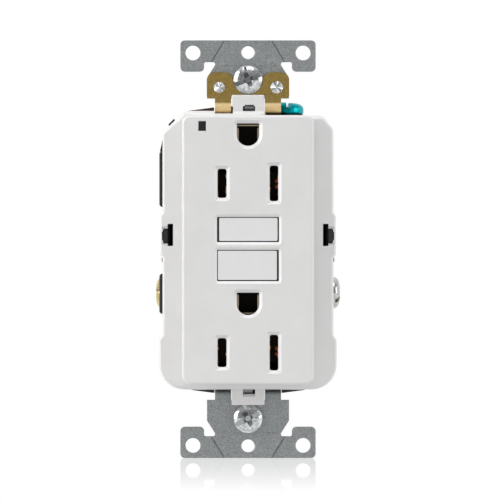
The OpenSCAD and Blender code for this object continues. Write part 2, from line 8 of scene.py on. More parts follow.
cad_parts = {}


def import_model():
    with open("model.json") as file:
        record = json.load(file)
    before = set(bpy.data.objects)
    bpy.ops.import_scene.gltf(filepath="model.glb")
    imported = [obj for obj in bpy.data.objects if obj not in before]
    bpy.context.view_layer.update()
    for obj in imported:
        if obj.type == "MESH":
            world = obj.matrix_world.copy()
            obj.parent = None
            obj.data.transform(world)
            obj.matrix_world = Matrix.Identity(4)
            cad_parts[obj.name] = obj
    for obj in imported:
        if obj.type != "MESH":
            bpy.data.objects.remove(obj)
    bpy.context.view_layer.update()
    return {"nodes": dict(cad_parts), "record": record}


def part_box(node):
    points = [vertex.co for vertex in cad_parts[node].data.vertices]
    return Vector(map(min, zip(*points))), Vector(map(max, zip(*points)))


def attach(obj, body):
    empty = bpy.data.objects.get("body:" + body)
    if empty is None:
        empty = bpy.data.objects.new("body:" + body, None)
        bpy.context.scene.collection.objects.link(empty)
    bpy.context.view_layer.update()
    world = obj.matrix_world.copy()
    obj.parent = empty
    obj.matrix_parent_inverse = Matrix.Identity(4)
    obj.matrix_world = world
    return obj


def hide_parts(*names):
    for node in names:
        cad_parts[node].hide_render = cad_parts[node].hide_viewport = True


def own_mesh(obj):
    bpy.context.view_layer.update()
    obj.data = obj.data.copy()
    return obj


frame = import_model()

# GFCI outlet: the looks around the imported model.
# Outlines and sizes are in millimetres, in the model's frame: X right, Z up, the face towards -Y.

MM = 0.001
NODES = frame["nodes"]
SLOT_OF = {part["node"]: part["material_slot"] for part in frame["record"]["subparts"]}
LOOKS = {}  # the materials, by the name of their slot


def box_mm(node):
    """Lowest and highest corner of a CAD node, in millimetres."""
    low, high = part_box(node)
    return Vector(low) / MM, Vector(high) / MM


def centre(node, axis):
    """Middle of a CAD node along one axis, in millimetres."""
    low, high = box_mm(node)
    return (getattr(low, axis) + getattr(high, axis)) / 2


# ---- sizes read from the frame ----

COVER_LOW, COVER_HIGH = box_mm("front_cover")
STRAP_LOW, STRAP_HIGH = box_mm("mounting_strap")
FACE_Y = COVER_LOW.y
SKIRT_Y = COVER_HIGH.y
BACK_Y = box_mm("rear_housing")[1].y
EAR_X = STRAP_HIGH.x
EAR_Z = STRAP_HIGH.z
BOX_Z = centre("box_screw_top", "z")
LINE_Z = centre("line_hot_screw", "z")
LOAD_Z = centre("load_hot_screw", "z")
TEST_Z = centre("test_button", "z")
RESET_Z = centre("reset_button", "z")
SCREW_Y = centre("line_hot_screw", "y")

# ---- sizes of the cover, the buttons and the strap ----

WALL_Y = FACE_Y + 4.2  # front of the flange around the raised face
SHELL_T = 1.6  # wall thickness of the cover and the housing
FACE_SIZE = (32.32, 66.0)  # width and height of the raised face
FACE_Z = -0.2  # and its middle
SLOT_X = 6.35  # blade slots, left and right of the middle
UPPER_Z = 16.1  # blade slots of the upper outlet
LOWER_Z = -25.3  # blade slots of the lower outlet
GROUND_RISE = 11.92  # ground opening, above the blade slots
TEST_CAP = (14.27, 5.65)  # width and height
TEST_HOLE = (15.16, 6.14)
RESET_CAP = (14.43, 7.15)
RESET_HOLE = (15.1, 7.64)
BEHIND = 9  # where the cutters of the openings end
STRAP_T = 1.2  # thickness of the strap's sheet
EAR_HOLE = (13.55, 48.3)  # x and z of a hole in an ear
PLATE_HOLE_Z = 48.42  # hole for the wall plate's screw
BEND_Z = 36  # outside of the bend where the legs turn backwards
NOTCH_Z = 33.5  # middle of the notches that let the legs pass
FRAME_Y = 2.6  # front of the strap's rails, behind the cover
NECK_Z = 37.1  # where the strap splits into legs
LEG_IN = 4.15  # inner and outer edge of a leg
LEG_OUT = 8.15
LEG_X = (LEG_IN + LEG_OUT) / 2
BODY_Y = SKIRT_Y + 0.05  # front of the housing, just behind the cover
RIVET_AT = (7.05, 39.8)  # x and z of the rivets of the ground plate
LOW_RIVET_AT = (3.4, -18.7)  # and of the lower ground contact
THREAD = 0.794  # thread pitch of the screws
WAVE_PERIOD = 0.314  # length of one band of Blender's wave texture at scale 1


# ---- outlines ----

def rounded(corners, step=12):
    """Outline through corners (x, z, radius), each corner turned into an arc."""
    outline = []
    for i, (x, z, radius) in enumerate(corners):
        corner = Vector((x, z))
        if not radius:
            outline.append(corner)
            continue
        back = (Vector(corners[i - 1][:2]) - corner).normalized()
        ahead = (Vector(corners[(i + 1) % len(corners)][:2]) - corner).normalized()
        half = back.angle(ahead) / 2
        centre = corner + (back + ahead).normalized() * radius / math.sin(half)
        spoke = corner + back * radius / math.tan(half) - centre
        turn = math.pi - 2 * half
        turn = math.copysign(turn, -back.cross(ahead))
        steps = max(1, round(abs(math.degrees(turn)) / step))
        for k in range(steps + 1):
            outline.append(centre + Matrix.Rotation(turn * k / steps, 2) @ spoke)
    return outline


def mirrored(corners):
    """Corners of the right half, from the top down, and their mirror image."""
    return corners + [(-x, z, radius) for x, z, radius in reversed(corners)]


def rectangle(width, height, x=0.0, z=0.0, radius=0.0, step=15):
    """Outline of a rectangle with its middle at (x, z)."""
    w, h = width / 2, height / 2
    return rounded([(x + w, z + h, radius), (x + w, z - h, radius), (x - w, z - h, radius),
                    (x - w, z + h, radius)], step)


def circle(radius, x=0.0, z=0.0, count=48):
    return [Vector((x + radius * math.cos(a), z + radius * math.sin(a)))
            for a in (math.tau * k / count for k in range(count))]


def inset(outline, depth):
    """The outline moved inwards by depth; a negative depth moves it outwards."""
    count = len(outline)
    area = sum(outline[i - 1].cross(outline[i]) for i in range(count))
    moved = []
    for i, point in enumerate(outline):
        before = (point - outline[i - 1]).normalized()
        after = (outline[(i + 1) % count] - point).normalized()
        normals = [Vector((-e.y, e.x)) * math.copysign(1, area) for e in (before, after)]
        moved.append(point + (normals[0] + normals[1]) * depth / (1 + normals[0].dot(normals[1])))
    return moved


def at(outline, y):
    """The outline's points in space, at depth y."""
    return [Vector((p.x, y, p.y)) for p in outline]


# ---- solids ----

def added(name, data):
    """A new object in the scene."""
    made = bpy.data.objects.new(name, data)
    bpy.context.scene.collection.objects.link(made)
    return made


def solid(name, points, faces):
    """A closed mesh object from points in millimetres."""
    mesh = bpy.data.meshes.new(name)
    mesh.from_pydata([p * MM for p in points], [], faces)
    shape = bmesh.new()
    shape.from_mesh(mesh)
    bmesh.ops.remove_doubles(shape, verts=shape.verts, dist=1e-7)
    bmesh.ops.recalc_face_normals(shape, faces=shape.faces)
    shape.to_mesh(mesh)
    shape.free()
    return added(name, mesh)


def loft(name, rings):
    """Skin over rings of equally many points, closed by a flat face at each end."""
    count = len(rings[0])
    faces = [[k * count + i, k * count + (i + 1) % count, (k + 1) * count + (i + 1) % count,
              (k + 1) * count + i] for k in range(len(rings) - 1) for i in range(count)]
    faces.append(list(range(count)))
    faces.append([(len(rings) - 1) * count + i for i in range(count)])
    return solid(name, [p for ring in rings for p in ring], faces)


def slab(name, outline, y0, y1, front=0.0, back=0.0, steps=4):
    """Plate from y0 to y1 whose front and back edges are rounded to the given radii."""
    arc = [math.pi / 2 * k / steps for k in range(steps + 1)]
    rings = [at(outline, y0)]
    if front:
        rings = [at(inset(outline, front * (1 - math.sin(a))), y0 + front * (1 - math.cos(a))) for a in arc]
    if back:
        rings += [at(inset(outline, back * (1 - math.cos(a))), y1 - back * (1 - math.sin(a))) for a in arc]
    else:
        rings.append(at(outline, y1))
    return loft(name, rings)


def block(name, corner, opposite):
    """Box between two opposite corners."""
    (x0, x1), (y0, y1), (z0, z1) = (sorted(pair) for pair in zip(corner, opposite))
    return slab(name, [Vector(p) for p in ((x0, z0), (x1, z0), (x1, z1), (x0, z1))], y0, y1)


def flared(outline, flare, tilt=1.0, y0=FACE_Y, y1=BEHIND):
    """Cutter for an opening whose front edge is chamfered by flare."""
    return loft("cutter", [at(inset(outline, -flare * 1.2), y0 - 0.2 * flare * tilt),
                           at(outline, y0 + flare * tilt), at(outline, y1)])


def slot_cutter(width, height, x, z, flare):
    """Cutter for a slot with rounded corners, whose chamfer runs out to square corners."""
    wide = 2.4 * flare
    slot = rectangle(width, height, x, z, 0.6)
    return loft("cutter", [at(rectangle(width + wide, height + wide, x, z, 0.12), FACE_Y - 0.2 * flare),
                           at(slot, FACE_Y + 0.7 * flare), at(slot, BEHIND)])


def slice_x(name, outline, x0, x1):
    """Extrudes an outline of (y, z) points between two values of x."""
    return loft(name, [[Vector((x, p.x, p.y)) for p in outline] for x in sorted((x0, x1))])


def lathe(name, profile, count=48):
    """Turns a profile of (radius, height) points about the Z axis; its ends lie on the axis."""
    points, faces = [], []
    for k in range(count):
        a = math.tau * k / count
        points += [Vector((r * math.cos(a), r * math.sin(a), h)) for r, h in profile]
    n = len(profile)
    for k in range(count):
        for i in range(n - 1):
            a, b = k * n + i, (k + 1) % count * n + i
            faces.append([a, a + 1, b + 1, b])
    return solid(name, points, faces)


def rod(name, radius, length, count=48):
    """Cylinder that stands on Z = 0."""
    return lathe(name, [(0, 0), (radius, 0), (radius, length), (0, length)], count)


def threaded(name, radius, root, pitch, low, high, count=24):
    """Screw shank along Z with a helical thread and a chamfered point at its low end."""
    rows = max(2, round((high - low) / pitch * 8))
    rings = []
    for row in range(rows + 1):
        z = low + (high - low) * row / rows
        tip = min(1.0, 0.72 + (z - low) * 0.28)
        ring = []
        for k in range(count):
            a = math.tau * k / count
            phase = (z / pitch - k / count) % 1
            ridge = max(0.0, 1 - abs(phase - 0.5) * 2.6)
            r = (root + (radius - root) * ridge) * tip
            ring.append(Vector((r * math.cos(a), r * math.sin(a), z)))
        rings.append(ring)
    return loft(name, rings)


def turned(degrees, axis):
    """Matrix of a turn about an axis."""
    return Matrix.Rotation(math.radians(degrees), 4, axis)


def moved(obj, place):
    """Moves a mesh by a matrix whose lengths are in millimetres."""
    matrix = place.copy()
    matrix.translation = matrix.translation * MM
    obj.data.transform(matrix)
    if matrix.determinant() < 0:
        obj.data.flip_normals()
    return obj


def boolean(obj, operation, others):
    """Combines a piece with the others, which are used up."""
    for other in others:
        step = obj.modifiers.new("step", "BOOLEAN")
        step.operation = operation
        step.solver = "EXACT"
        step.object = other
    graph = bpy.context.evaluated_depsgraph_get()
    mesh = bpy.data.meshes.new_from_object(obj.evaluated_get(graph))
    obj.modifiers.clear()
    obj.data = mesh
    for other in others:
        bpy.data.objects.remove(other)
    return obj


def join(obj, *others):
    """Adds the others to a piece."""
    return boolean(obj, "UNION", others)


def cut(obj, *others):
    """Cuts the others out of a piece."""
    return boolean(obj, "DIFFERENCE", others)


def both_sides(make):
    """What make builds for the right side, and again for the left."""
    return [make(1), make(-1)]


def rivet_holes(place, radius, y0, y1):
    """Cutters for a pair of rivets at (x, z) and its mirror image."""
    x, z = place
    return both_sides(lambda s: slab("cutter", circle(radius, s * x, z, 24), y0, y1))


def rounding(obj, width, segments, angle, miter):
    """Modifiers that round the edges sharper than angle by width and keep flat faces looking flat."""
    if width:
        bevel = obj.modifiers.new("edges", "BEVEL")
        bevel.width = width * MM
        bevel.segments = segments
        bevel.limit_method = "ANGLE"
        bevel.angle_limit = math.radians(angle)
        bevel.harden_normals = True
        bevel.miter_outer = miter
    normals = obj.modifiers.new("normals", "WEIGHTED_NORMAL")
    normals.keep_sharp = True


def softened(obj, width, segments=2, angle=32):
    """Cleans the mesh of one of this script's own pieces and rounds its edges by width."""
    mesh = obj.data
    shape = bmesh.new()
    shape.from_mesh(mesh)
    bmesh.ops.remove_doubles(shape, verts=shape.verts, dist=2e-6)
    bmesh.ops.holes_fill(shape, edges=[edge for edge in shape.edges if edge.is_boundary], sides=8)
    bmesh.ops.dissolve_limit(shape, angle_limit=math.radians(0.6), verts=shape.verts, edges=shape.edges)
    shape.to_mesh(mesh)
    shape.free()
    mesh.shade_smooth()
    mesh.set_sharp_from_angle(angle=math.radians(angle))
    rounding(obj, width, segments, angle, "MITER_ARC")


def softened_node(node, width):
    """Rounds the edges of a CAD node by width, with modifiers alone."""
    obj = NODES[node]
    weld = obj.modifiers.new("weld", "WELD")
    weld.merge_threshold = 1e-6
    flat = obj.modifiers.new("flat", "DECIMATE")
    flat.decimate_type = "DISSOLVE"
    flat.angle_limit = math.radians(1)
    rounding(obj, width, 2, 35, "MITER_SHARP")


# ---- materials ----

class Graph:
    """Short ways to add nodes to a node tree and to link them."""

    def __init__(self, tree):
        self.tree = tree

    def node(self, kind, inputs=None, **settings):
        """A shader node; each input is a socket to link or a value to set, by name or by number."""
        made = self.tree.nodes.new("ShaderNode" + kind)
        for key, value in settings.items():
            setattr(made, key, value)
        for key, value in (inputs or {}).items():
            if isinstance(value, bpy.types.NodeSocket):
                self.tree.links.new(value, made.inputs[key])
            else:
                made.inputs[key].default_value = value
        return made

    def axes(self, vector):
        """The X, Y and Z sockets of a vector."""
        return self.node("SeparateXYZ", {"Vector": vector}).outputs[:]

    def math(self, operation, *values):
        return self.node("Math", dict(enumerate(values)), operation=operation).outputs["Value"]

    def length(self, vector):
        return self.node("VectorMath", {0: vector}, operation="LENGTH").outputs["Value"]

    def ranged(self, value, start, end, first=0.0, last=1.0):
        """Maps start to first and end to last, and stays at those beyond them."""
        return self.node("MapRange", {"Value": value, "From Min": start, "From Max": end, "To Min": first,
                                      "To Max": last}).outputs["Result"]

    def mixed(self, factor, colour, other):
        """Goes from one colour to the other as the factor rises; the other may be three plain numbers."""
        if isinstance(other, tuple):
            other = (*other, 1)
        ends = {"Factor": factor, "A": colour, "B": other}
        return self.node("Mix", ends, data_type="RGBA").outputs["Result"]

    def mixed_shader(self, factor, shader, other):
        return self.node("MixShader", {"Fac": factor, 1: shader.outputs[0], 2: other.outputs[0]})

    def ramp(self, factor, stops):
        """Maps a factor through stops, whose values are colours or plain numbers."""
        made = self.node("ValToRGB", {"Fac": factor})
        elements = made.color_ramp.elements
        while len(elements) < len(stops):
            elements.new(0.5)
        for element, (position, value) in zip(elements, stops):
            element.position = position
            element.color = (*value, 1) if isinstance(value, tuple) else (value, value, value, 1)
        return made.outputs["Color"]


class Look(Graph):
    """A node material in the making, on one Principled shader; LOOKS keeps it."""

    def __init__(self, name, metallic=0.0, roughness=0.4, **sockets):
        LOOKS[name] = bpy.data.materials.new(name)
        LOOKS[name].use_nodes = True
        super().__init__(LOOKS[name].node_tree)
        self.shader = self.tree.nodes["Principled BSDF"]
        self.place = self.node("TexCoord").outputs["Object"]
        for socket, value in {"Metallic": metallic, "Roughness": roughness, **sockets}.items():
            self.shader.inputs[socket.replace("_", " ")].default_value = value

    def paint(self, colour):
        self.tree.links.new(colour, self.shader.inputs["Base Color"])

    def gloss(self, factor, stops):
        """Lets the roughness follow a factor."""
        self.tree.links.new(self.ramp(factor, stops), self.shader.inputs["Roughness"])

    def noise(self, size, detail=3.0, roughness=0.55, scale=(1, 1, 1)):
        """Noise whose blotches are about size millimetres across."""
        place = self.node("Mapping", {"Vector": self.place, "Scale": scale}).outputs["Vector"]
        return self.node("TexNoise", {"Vector": place, "Scale": 1 / (size * MM), "Detail": detail,
                                      "Roughness": roughness}).outputs["Fac"]

    def cells(self, size):
        """Patches about size millimetres across, each of one colour."""
        return self.node("TexVoronoi", {"Vector": self.place, "Scale": 1 / (size * MM)}).outputs["Color"]

    def bump(self, height, strength, distance):
        """Relief of distance millimetres, added to what is there."""
        made = self.node("Bump", {"Height": height, "Strength": strength, "Distance": distance * MM})
        normal = self.shader.inputs["Normal"]
        if normal.links:
            self.tree.links.new(normal.links[0].from_socket, made.inputs["Normal"])
        self.tree.links.new(made.outputs["Normal"], normal)


def painted_recess_shade(look, colour, depth):
    """The colour with painted shade: darkened to near black in the face's openings, more than depth
    millimetres behind the face, where the gaps lie in shade.
    """
    x, y, z = look.axes(look.place)
    start = FACE_Y + depth
    mask = look.ranged(y, start * MM, (start + 0.2) * MM)
    for across, reach in ((x, 13.5), (z, 31.9)):
        within = look.math("LESS_THAN", look.math("ABSOLUTE", across), reach * MM)
        mask = look.math("MULTIPLY", mask, within)
    return look.mixed(mask, colour, (0.010, 0.010, 0.010))


def plastic(name, dark, light, roughness, grain=0.12, relief=0.004, recess=None, **sockets):
    """Moulded plastic: a slight cloudiness and a fine moulded grain, with painted shade in the face's
    openings when recess is given.
    """
    look = Look(name, roughness=roughness, **sockets)
    colour = look.ramp(look.noise(9, 2), [(0.35, dark), (0.68, light)])
    # painted shade in the face's openings, from recess millimetres behind the face
    look.paint(painted_recess_shade(look, colour, recess) if recess else colour)
    look.gloss(look.noise(0.8, 3), [(0.3, roughness - 0.01), (0.7, roughness + 0.015)])
    look.bump(look.noise(grain, 2), 0.3, relief)


def housing_plastic(name):
    """Black housing plastic, browner on the lip above the cover."""
    look = Look(name, roughness=0.40, Specular_IOR_Level=0.35)
    x, y, z = look.axes(look.place)
    lip = look.ranged(z, 33.3 * MM, 33.8 * MM)
    near = look.ranged(y, 9 * MM, 13 * MM, 1.0, 0.0)
    black = look.ramp(look.noise(7, 2), [(0.35, (0.018, 0.018, 0.019)), (0.68, (0.030, 0.030, 0.031))])
    look.paint(look.mixed(look.math("MULTIPLY", lip, near), black, (0.060, 0.026, 0.020)))
    look.gloss(look.noise(0.8, 3), [(0.3, 0.37), (0.7, 0.45)])
    look.bump(look.noise(0.2, 2), 0.3, 0.012)


def deep_brass(name):
    """Contact brass with painted light and shade: bright at the leaves' tips, painted dark behind them and in
    noisy patches as shade deeper in the slots, with painted coppery glints by the right-hand slots.
    """
    look = Look(name, metallic=0.9, roughness=0.34)
    x, y, z = look.axes(look.place)
    # painted shade: the brass darkens with depth behind the face and in noisy patches, as the slots lie in
    # shade; the fine noise is tone
    depth = look.ranged(y, -5.4 * MM, -1.0 * MM)
    shade_patches = look.ranged(look.noise(1.9, 2), 0.62, 0.48)
    shade_and_tone = look.math("MULTIPLY_ADD", look.noise(0.5, 4), 0.25, look.math("ADD", depth, shade_patches))
    colour = look.ramp(shade_and_tone, [(0.15, (0.66, 0.38, 0.12)), (0.45, (0.16, 0.08, 0.03)),
                                 (0.9, (0.020, 0.012, 0.006))])
    # painted coppery glints, two beside each right-hand slot of each outlet
    flat = look.node("CombineXYZ", {"X": x, "Z": z}).outputs["Vector"]
    for middle in (UPPER_Z, LOWER_Z):
        for rise in (0.75, -0.65):
            glint_spot = Vector((SLOT_X + 0.85, 0, middle + rise)) * MM
            far = look.node("VectorMath", {0: flat, 1: glint_spot}, operation="DISTANCE").outputs["Value"]
            colour = look.mixed(look.ranged(far, 0.55 * MM, 0.35 * MM), colour, (0.95, 0.26, 0.09))
    look.paint(colour)
    look.bump(look.noise(0.25, 3), 0.4, 0.008)


def galvanized(name):
    """Zinc-coated sheet: small spangles, fine pitting and rolling marks."""
    look = Look(name, metallic=0.92, roughness=0.5)
    fleck = look.noise(0.2, 5, 0.8)
    spangle = look.mixed(0.62, look.cells(0.16), fleck)
    look.paint(look.ramp(spangle, [(0.3, (0.19, 0.203, 0.206)), (0.5, (0.325, 0.342, 0.346)),
                                   (0.7, (0.52, 0.535, 0.54))]))
    look.gloss(look.noise(0.5, 3), [(0.3, 0.40), (0.7, 0.60)])
    look.bump(fleck, 0.55, 0.02)
    look.bump(look.noise(0.09, 2, scale=(1, 1, 0.15)), 0.3, 0.006)


def plated_screw(name, dark, light, roughness):
    """Bright plating; the drive recess of the box screws is painted a flat grey as shade."""
    look = Look(name, metallic=1.0, roughness=roughness)
    plate = look.ramp(look.noise(0.7, 4, 0.65), [(0.36, dark), (0.58, light)])
    x, y, z = look.axes(look.place)
    # painted shade: a flat grey in the box screws' drive recess, within 3.15 mm of the axis and deeper than
    # the rim
    rise = look.math("SUBTRACT", look.math("ABSOLUTE", z), BOX_Z * MM)
    radius = look.length(look.node("CombineXYZ", {"X": x, "Y": rise}).outputs["Vector"])
    within = look.math("LESS_THAN", radius, 3.15 * MM)
    drive_recess_shade = look.ranged(y, -2.85 * MM, -2.4 * MM)
    look.paint(look.mixed(look.math("MULTIPLY", within, drive_recess_shade), plate, (0.44, 0.46, 0.46)))
    look.gloss(look.noise(1.8, 2), [(0.3, roughness - 0.05), (0.7, roughness + 0.09)])
    look.bump(look.noise(0.6, 3), 0.6, 0.028)


def sheet_metal(name, dark, light, roughness, size=0.35, relief=0.008, streak=(1, 1, 1)):
    """Stamped or plated metal: mottled colour and a brushed or rolled grain."""
    look = Look(name, metallic=1.0, roughness=roughness)
    look.paint(look.ramp(look.noise(size, 4, 0.6), [(0.3, dark), (0.7, light)]))
    look.gloss(look.noise(size * 2, 2), [(0.3, max(0.04, roughness - 0.07)), (0.7, roughness + 0.09)])
    look.bump(look.noise(size * 0.5, 3, scale=streak), 0.4, relief)


def ground_brass(name):
    """Grained brass sheet with a painted highlight that makes it brighter from the top of the bends
    downwards; the tips of the sprung leaves are paler and greyer.
    """
    look = Look(name, metallic=1.0, roughness=0.36)
    x, y, z = look.axes(look.place)
    sheet = look.ramp(look.noise(0.38, 5, 0.75), [(0.32, (0.27, 0.185, 0.052)), (0.68, (0.56, 0.395, 0.125))])
    # painted highlight: brighter brass from the top of the legs' bends downwards, where the bends would
    # reflect the bright floor
    bend_highlight = look.ramp(look.noise(0.3, 3), [(0.3, (0.80, 0.59, 0.29)), (0.7, (0.98, 0.76, 0.42))])
    sheet_with_highlight = look.mixed(look.ranged(z, 36.15 * MM, 35.75 * MM), sheet, bend_highlight)
    look.paint(look.mixed(look.ranged(y, -2.6 * MM, -3.4 * MM), sheet_with_highlight, (0.60, 0.50, 0.37)))
    look.gloss(look.noise(0.4, 2), [(0.3, 0.29), (0.7, 0.42)])
    look.bump(look.noise(0.1, 3), 0.4, 0.025)


def wound_wire(name, dark, light, pitch):
    """Enamelled wire laid in turns."""
    look = Look(name, metallic=0.35, roughness=0.28, Coat_Weight=0.5)
    turns = {"Vector": look.place, "Scale": WAVE_PERIOD / (pitch * MM)}
    wave = look.node("TexWave", turns, bands_direction="Z").outputs["Fac"]
    look.paint(look.ramp(wave, [(0.2, dark), (0.8, light)]))
    look.bump(wave, 0.9, pitch * 0.4)


def circuit_green(name):
    """Green solder mask over tracks."""
    look = Look(name, roughness=0.35)
    look.paint(look.ramp(look.noise(2.5, 1), [(0.47, (0.012, 0.11, 0.05)), (0.5, (0.03, 0.19, 0.09))]))
    look.bump(look.noise(0.2, 2), 0.3, 0.01)


def fibre_board(name):
    """Pressed fibre with a rough, matt surface."""
    look = Look(name, roughness=0.85)
    look.paint(look.ramp(look.noise(0.6, 5, 0.7), [(0.3, (0.33, 0.20, 0.11)), (0.7, (0.52, 0.36, 0.22))]))
    look.bump(look.noise(0.2, 4), 0.6, 0.03)


# recess: depth behind the face where the painted shade in the openings begins
plastic("white_nylon", (0.755, 0.750, 0.745), (0.785, 0.780, 0.775), 0.30, recess=0.88,
        Coat_Weight=0.45, Coat_Roughness=0.12)
plastic("white_button", (0.79, 0.787, 0.784), (0.81, 0.807, 0.804), 0.30, recess=0.55,
        Coat_Weight=0.45, Coat_Roughness=0.12)
housing_plastic("black_thermoplastic")
plastic("tray_plastic", (0.009, 0.009, 0.010), (0.016, 0.016, 0.017), 0.6)
galvanized("galvanized_steel")
ground_brass("ground_brass")
deep_brass("contact_brass")
sheet_metal("screw_brass", (0.48, 0.38, 0.16), (0.72, 0.59, 0.29), 0.16, 0.9, 0.004)
plated_screw("zinc_screw", (0.34, 0.38, 0.41), (0.74, 0.74, 0.73), 0.13)
sheet_metal("silver_screw", (0.38, 0.385, 0.38), (0.60, 0.59, 0.56), 0.15, 0.9, 0.004)
sheet_metal("green_screw", (0.0, 0.21, 0.24), (0.01, 0.50, 0.55), 0.34, 0.6, 0.03)
fibre_board("fibre")
sheet_metal("copper_leaf", (0.52, 0.24, 0.12), (0.70, 0.36, 0.20), 0.28, 0.5)
sheet_metal("contact_silver", (0.66, 0.66, 0.64), (0.82, 0.81, 0.79), 0.3, 0.5)
sheet_metal("plain_steel", (0.36, 0.36, 0.36), (0.50, 0.50, 0.49), 0.33, 0.6, 0.006, (1, 0.2, 1))
plastic("clear_pipe", (0.006, 0.006, 0.006), (0.011, 0.011, 0.011), 0.25)
plastic("led_body", (0.60, 0.66, 0.55), (0.70, 0.76, 0.64), 0.2)
circuit_green("board_green")
wound_wire("core_wire", (0.20, 0.055, 0.02), (0.55, 0.20, 0.07), 0.18)
plastic("natural_nylon", (0.66, 0.63, 0.55), (0.74, 0.71, 0.63), 0.45)
plastic("package_black", (0.013, 0.013, 0.014), (0.022, 0.022, 0.023), 0.55, grain=0.15, relief=0.02)
plastic("capacitor_sleeve", (0.010, 0.018, 0.10), (0.016, 0.028, 0.14), 0.25)
plastic("varistor_blue", (0.02, 0.09, 0.28), (0.03, 0.13, 0.36), 0.3, grain=0.6, relief=0.06)
plastic("resistor_tan", (0.48, 0.34, 0.19), (0.58, 0.43, 0.26), 0.3)


def adopt(piece, body, slot, *nodes):
    """Gives a finished piece its material and its body, in place of CAD nodes."""
    piece.data.materials.clear()
    piece.data.materials.append(LOOKS[slot])
    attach(piece, body)
    if nodes:
        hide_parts(*nodes)


# ---- cover ----

def flange_outline():
    """The flange: cut corners at the top, a low right-hand top edge, and a wider foot with large corners."""
    side, foot = 21.0, 21.8
    return rounded([
        (-15.6, 33.98, 1.8), (4.3, 33.98, 0), (4.3, 32.85, 0.2), (18.3, 32.85, 2.2), (side, 29.5, 2.6),
        (side, 9.0, 0), (side + 0.6, 8.1, 0), (side + 0.6, -1.3, 0), (side, -2.2, 0), (side, -21.0, 0.8),
        (foot, -22.4, 0), (foot, -34.5, 6.2), (-foot, -34.5, 6.2), (-foot, -22.4, 0), (-side, -21.0, 0.8),
        (-side, -2.2, 0), (-side - 0.6, -1.3, 0), (-side - 0.6, 8.1, 0), (-side, 9.0, 0), (-side, 28.6, 2.4)])


def ground_outline(z):
    """Ground opening: flat top, round bottom."""
    r = 2.75
    top = rounded([(-r, z, 0), (-r, z + r, 0.35), (r, z + r, 0.35), (r, z, 0)])
    arc = [-math.pi * k / 16 for k in range(1, 16)]
    return top + [Vector((r * math.cos(a), z + r * math.sin(a))) for a in arc]


def end_tab(tip, root, sill, slope):
    """Snap tab from root to tip, with a window next to sill whose outer wall slopes."""
    tab = slab("tab", rectangle(8.1, abs(tip - root), 0, (tip + root) / 2, 0.34), -3.4, -STRAP_T - 0.3, 0.3)
    middle = sill + math.copysign(0.7, tip)
    inward = math.copysign(slope, tip) / 2
    front = rectangle(3.0, 1.85, 0.24, middle, 0.15)
    back = rectangle(3.0, 1.85 - slope, 0.24, middle - inward, 0.15)
    return cut(tab, loft("cutter", [at(front, -3.6), at(front, -3.3), at(back, -2.7), at(back, 5)]))


def leg_notch(side, top, y0, y1):
    """Cutter that lets one leg of the strap pass."""
    x, z = side * LEG_X, top * NOTCH_Z
    return block("cutter", (x - 2.3, y0, z - 2.5), (x + 2.3, y1, z + 2.5))


def front_cover():
    """Flange, raised face and end tabs in one, hollow behind, with all its openings."""
    cover = slab("cover_shell", flange_outline(), WALL_Y, SKIRT_Y, front=1.5, steps=6)
    slope = [(16.0, WALL_Y), (25.0, WALL_Y + 0.8), (25.0, WALL_Y - 5), (16.0, WALL_Y - 5)]
    for s in (1, -1):
        cut(cover, loft("cutter", [[Vector((s * x, y, z)) for x, y in slope] for z in (-50, 50)]))
    face = slab("face", rectangle(*FACE_SIZE, 0, FACE_Z, 2.1, 9), FACE_Y, WALL_Y + 2.4, front=0.75, steps=5)
    join(cover, face, end_tab(37.9, 31.6, 33.85, 0.05), end_tab(-38.3, -32.6, -34.6, 0.6))
    inner = rounded(mirrored([(15.6, 31.2, 0.8), (19.4, 27, 1), (19.4, -28, 2), (15, -32.7, 2)]))
    cut(cover, slab("inside", inner, WALL_Y + SHELL_T, BEHIND),
        slab("inside", rectangle(29.1, 61.2, 0, FACE_Z, 1), FACE_Y + SHELL_T, BEHIND))
    openings = []
    for z in (UPPER_Z, LOWER_Z):
        openings += [slot_cutter(2.2, 7.1, -SLOT_X, z, 0.82), slot_cutter(2.1, 8.7, SLOT_X, z, 0.82),
                     flared(ground_outline(z + GROUND_RISE), 0.8, 0.75)]
    for hole, z in ((TEST_HOLE, TEST_Z), (RESET_HOLE, RESET_Z)):
        openings.append(flared(rectangle(*hole, 0, z, 0.2), 0.62, 0.68))
    status_window = flared(rectangle(1.87, 2.4, -11.2, 30.1, 0.1), 0.14)
    cut(cover, *openings, status_window)
    for s in (1, -1):
        wide, narrow = rectangle(2.8, 5.5, s * 19.8, 3.49, 0.2), rectangle(2.75, 3.5, s * 19.77, 3.25, 0.2)
        cut(cover, slab("cutter", rectangle(1.36, 5.44, s * 19.08, 3.5, 0.15), WALL_Y - 1, BEHIND + 0.1),
            loft("cutter", [at(wide, WALL_Y - 0.25), at(narrow, WALL_Y + 1.1), at(narrow, BEHIND)]))
    cut(cover, *both_sides(lambda s: block("cutter", (s * 6.2 - 2.0, -9, 33.3), (s * 6.2 + 2.0, 0, 36))))
    cut(cover, block("cutter", (-4.4, -9, 33.3), (-3.7, 0, 35.1)))
    for top, front in ((1, -0.75), (-1, -2.3)):
        cut(cover, *both_sides(lambda s: leg_notch(s, top, front, BEHIND)))
        z = top * NOTCH_Z
        cut(cover, block("cutter", (-8.45, 1.6, z - 2.5), (8.45, BEHIND, z + 2.5)))
    softened(cover, 0.07)
    adopt(cover, "outlet", "white_nylon", "front_cover")


# ---- buttons ----

